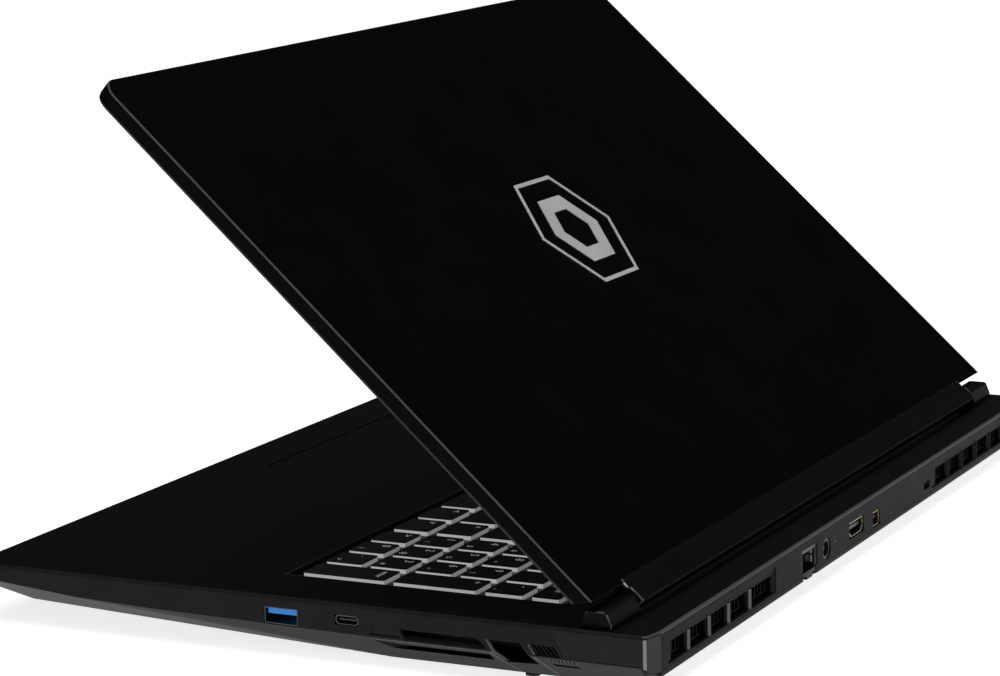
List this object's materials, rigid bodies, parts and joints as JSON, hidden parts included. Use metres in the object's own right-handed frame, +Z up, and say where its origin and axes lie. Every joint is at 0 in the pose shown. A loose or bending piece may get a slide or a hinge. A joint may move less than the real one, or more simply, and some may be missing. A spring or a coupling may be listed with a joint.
{
  "type": "laptop computer",
  "caption": "Large black gaming laptop with a numeric keypad, lid on friction hinges, rear and side vents, rear and side sockets, backlit keys and a wedge-shaped base.",
  "frame": {"origin": "centre of the base in plan, on the surface that the rubber feet stand on", "axes": "+X to the user's right, +Y from the front edge to the hinges, +Z up"},
  "size_m": [0.396, 0.268, 0.1934],
  "materials": {
    "base_plastic": "fine moulded texture, near black",
    "rear_plastic": "satin, dark grey",
    "deck_metal": "black anodised",
    "deck_plastic": "satin black",
    "lid_metal": "black anodised, fine satin",
    "lid_plastic": "satin black",
    "bezel_plastic": "fine texture, black",
    "display": "anti-glare black screen, off",
    "key_cap": "black top, white translucent skirt",
    "pad_surface": "smooth satin black",
    "button_metal": "satin black",
    "rubber": "matte",
    "steel": "brushed",
    "screw_steel": "blackened",
    "socket_metal": "nickel plated",
    "gilt_metal": "pale gold plated",
    "fin_metal": "dark anodised",
    "socket_plastic": "black",
    "blue_plastic": "blue",
    "copper": "copper, lightly tarnished",
    "circuit_board": "solder mask",
    "silicon": "mirror grey die on a dark carrier",
    "inner_plastic": "black",
    "battery_wrap": "black film over cells",
    "mesh": "woven dust mesh",
    "cable": "black",
    "light": "clear light pipe",
    "emblem_metal": "brushed silver"
  },
  "bodies": {
    "base": {"bottom_cover": "base_plastic", "rear_panel": "rear_plastic", "top_cover": "deck_metal", "hinge_covers": "rear_plastic", "hinge_brackets": "steel", "key_frame": "deck_plastic", "keyboard_plate": "steel", "mainboard": "circuit_board", "processors": "silicon", "memory_modules": "circuit_board", "ssd_module": "circuit_board", "wifi_card": "circuit_board", "cold_plate": "copper", "heat_pipes": "copper", "fin_stacks": "fin_metal", "fan_housing_right": "inner_plastic", "fan_housing_left": "inner_plastic", "battery_pack": "battery_wrap", "speakers": "inner_plastic", "intake_mesh": "mesh", "usb_a_shells": "socket_metal", "usb_a_tongues": "blue_plastic", "usb_c_shell": "socket_metal", "usb_c_tongue": "socket_plastic", "video_shells": "gilt_metal", "video_tongues": "socket_plastic", "lan_socket": "socket_plastic", "dc_socket": "socket_plastic", "audio_sockets": "socket_plastic", "charge_light": "light", "touchpad_frame": "steel", "rubber_feet": "rubber", "bottom_screws": "screw_steel"},
    "lid": {"lid_cover": "lid_metal", "lid_bezel": "bezel_plastic", "display_panel": "display", "hinge_lip": "lid_plastic", "hinge_arms": "steel", "camera_module": "inner_plastic", "bezel_pads": "rubber", "lid_emblem": "emblem_metal", "antennas": "inner_plastic", "display_cable": "cable"},
    "fan_rotor_right": {"fan_rotor_right": "inner_plastic"},
    "fan_rotor_left": {"fan_rotor_left": "inner_plastic"},
    "lan_jaw": {"lan_jaw": "socket_plastic"},
    "touchpad": {"touchpad": "pad_surface"},
    "power_button": {"power_button": "button_metal"},
    "function_keys": {"function_keys": "key_cap"},
    "number_keys": {"number_keys": "key_cap"},
    "upper_keys": {"upper_keys": "key_cap"},
    "home_keys": {"home_keys": "key_cap"},
    "lower_keys": {"lower_keys": "key_cap"},
    "bottom_keys": {"bottom_keys": "key_cap"},
    "space_bar": {"space_bar": "key_cap"},
    "enter_key": {"enter_key": "key_cap"},
    "arrow_keys": {"arrow_keys": "key_cap"},
    "keypad_keys": {"keypad_keys": "key_cap"},
    "keypad_enter": {"keypad_enter": "key_cap"}
  },
  "joints": [
    {"name": "lid_hinge", "type": "hinge", "parent": "base", "child": "lid", "pos_m": [0, 0.1143, 0.02365], "axis": [-1, 0, 0], "range_deg": [-42.4, 92.6]},
    {"name": "fan_right_spin", "type": "hinge", "parent": "base", "child": "fan_rotor_right", "pos_m": [0.137, 0.076, 0.009], "axis": [0, 0, 1], "continuous": true},
    {"name": "fan_left_spin", "type": "hinge", "parent": "base", "child": "fan_rotor_left", "pos_m": [-0.137, 0.076, 0.009], "axis": [0, 0, 1], "continuous": true},
    {"name": "lan_jaw_drop", "type": "hinge", "parent": "base", "child": "lan_jaw", "pos_m": [0.0575, 0.126, 0.0078], "axis": [-1, 0, 0], "range_deg": [0, 28], "stiffness_Nm_per_rad": 0.02, "springref_deg": -5.73},
    {"name": "touchpad_click", "type": "hinge", "parent": "base", "child": "touchpad", "pos_m": [-0.026, -0.038, 0.0203], "axis": [1, 0, 0], "range_deg": [0, 1], "stiffness_Nm_per_rad": 2.4, "springref_deg": -0.57},
    {"name": "power_press", "type": "slide", "parent": "base", "child": "power_button", "axis": [0, 0, -1], "range_m": [0, 0.0006], "stiffness_N_per_m": 800, "springref_m": -0.0004},
    {"name": "function_keys_press", "type": "slide", "parent": "base", "child": "function_keys", "axis": [0, 0, -1], "range_m": [0, 0.0014], "stiffness_N_per_m": 7000, "springref_m": -0.0005},
    {"name": "number_keys_press", "type": "slide", "parent": "base", "child": "number_keys", "axis": [0, 0, -1], "range_m": [0, 0.0014], "stiffness_N_per_m": 4900, "springref_m": -0.0005},
    {"name": "upper_keys_press", "type": "slide", "parent": "base", "child": "upper_keys", "axis": [0, 0, -1], "range_m": [0, 0.0014], "stiffness_N_per_m": 4900, "springref_m": -0.0005},
    {"name": "home_keys_press", "type": "slide", "parent": "base", "child": "home_keys", "axis": [0, 0, -1], "range_m": [0, 0.0014], "stiffness_N_per_m": 4200, "springref_m": -0.0005},
    {"name": "lower_keys_press", "type": "slide", "parent": "base", "child": "lower_keys", "axis": [0, 0, -1], "range_m": [0, 0.0014], "stiffness_N_per_m": 4200, "springref_m": -0.0005},
    {"name": "bottom_keys_press", "type": "slide", "parent": "base", "child": "bottom_keys", "axis": [0, 0, -1], "range_m": [0, 0.0014], "stiffness_N_per_m": 2450, "springref_m": -0.0005},
    {"name": "space_bar_press", "type": "slide", "parent": "base", "child": "space_bar", "axis": [0, 0, -1], "range_m": [0, 0.0014], "stiffness_N_per_m": 350, "springref_m": -0.0005},
    {"name": "enter_key_press", "type": "slide", "parent": "base", "child": "enter_key", "axis": [0, 0, -1], "range_m": [0, 0.0014], "stiffness_N_per_m": 350, "springref_m": -0.0005},
    {"name": "arrow_keys_press", "type": "slide", "parent": "base", "child": "arrow_keys", "axis": [0, 0, -1], "range_m": [0, 0.0014], "stiffness_N_per_m": 1400, "springref_m": -0.0005},
    {"name": "keypad_keys_press", "type": "slide", "parent": "base", "child": "keypad_keys", "axis": [0, 0, -1], "range_m": [0, 0.0014], "stiffness_N_per_m": 5600, "springref_m": -0.0005},
    {"name": "keypad_enter_press", "type": "slide", "parent": "base", "child": "keypad_enter", "axis": [0, 0, -1], "range_m": [0, 0.0014], "stiffness_N_per_m": 350, "springref_m": -0.0005}
  ]
}
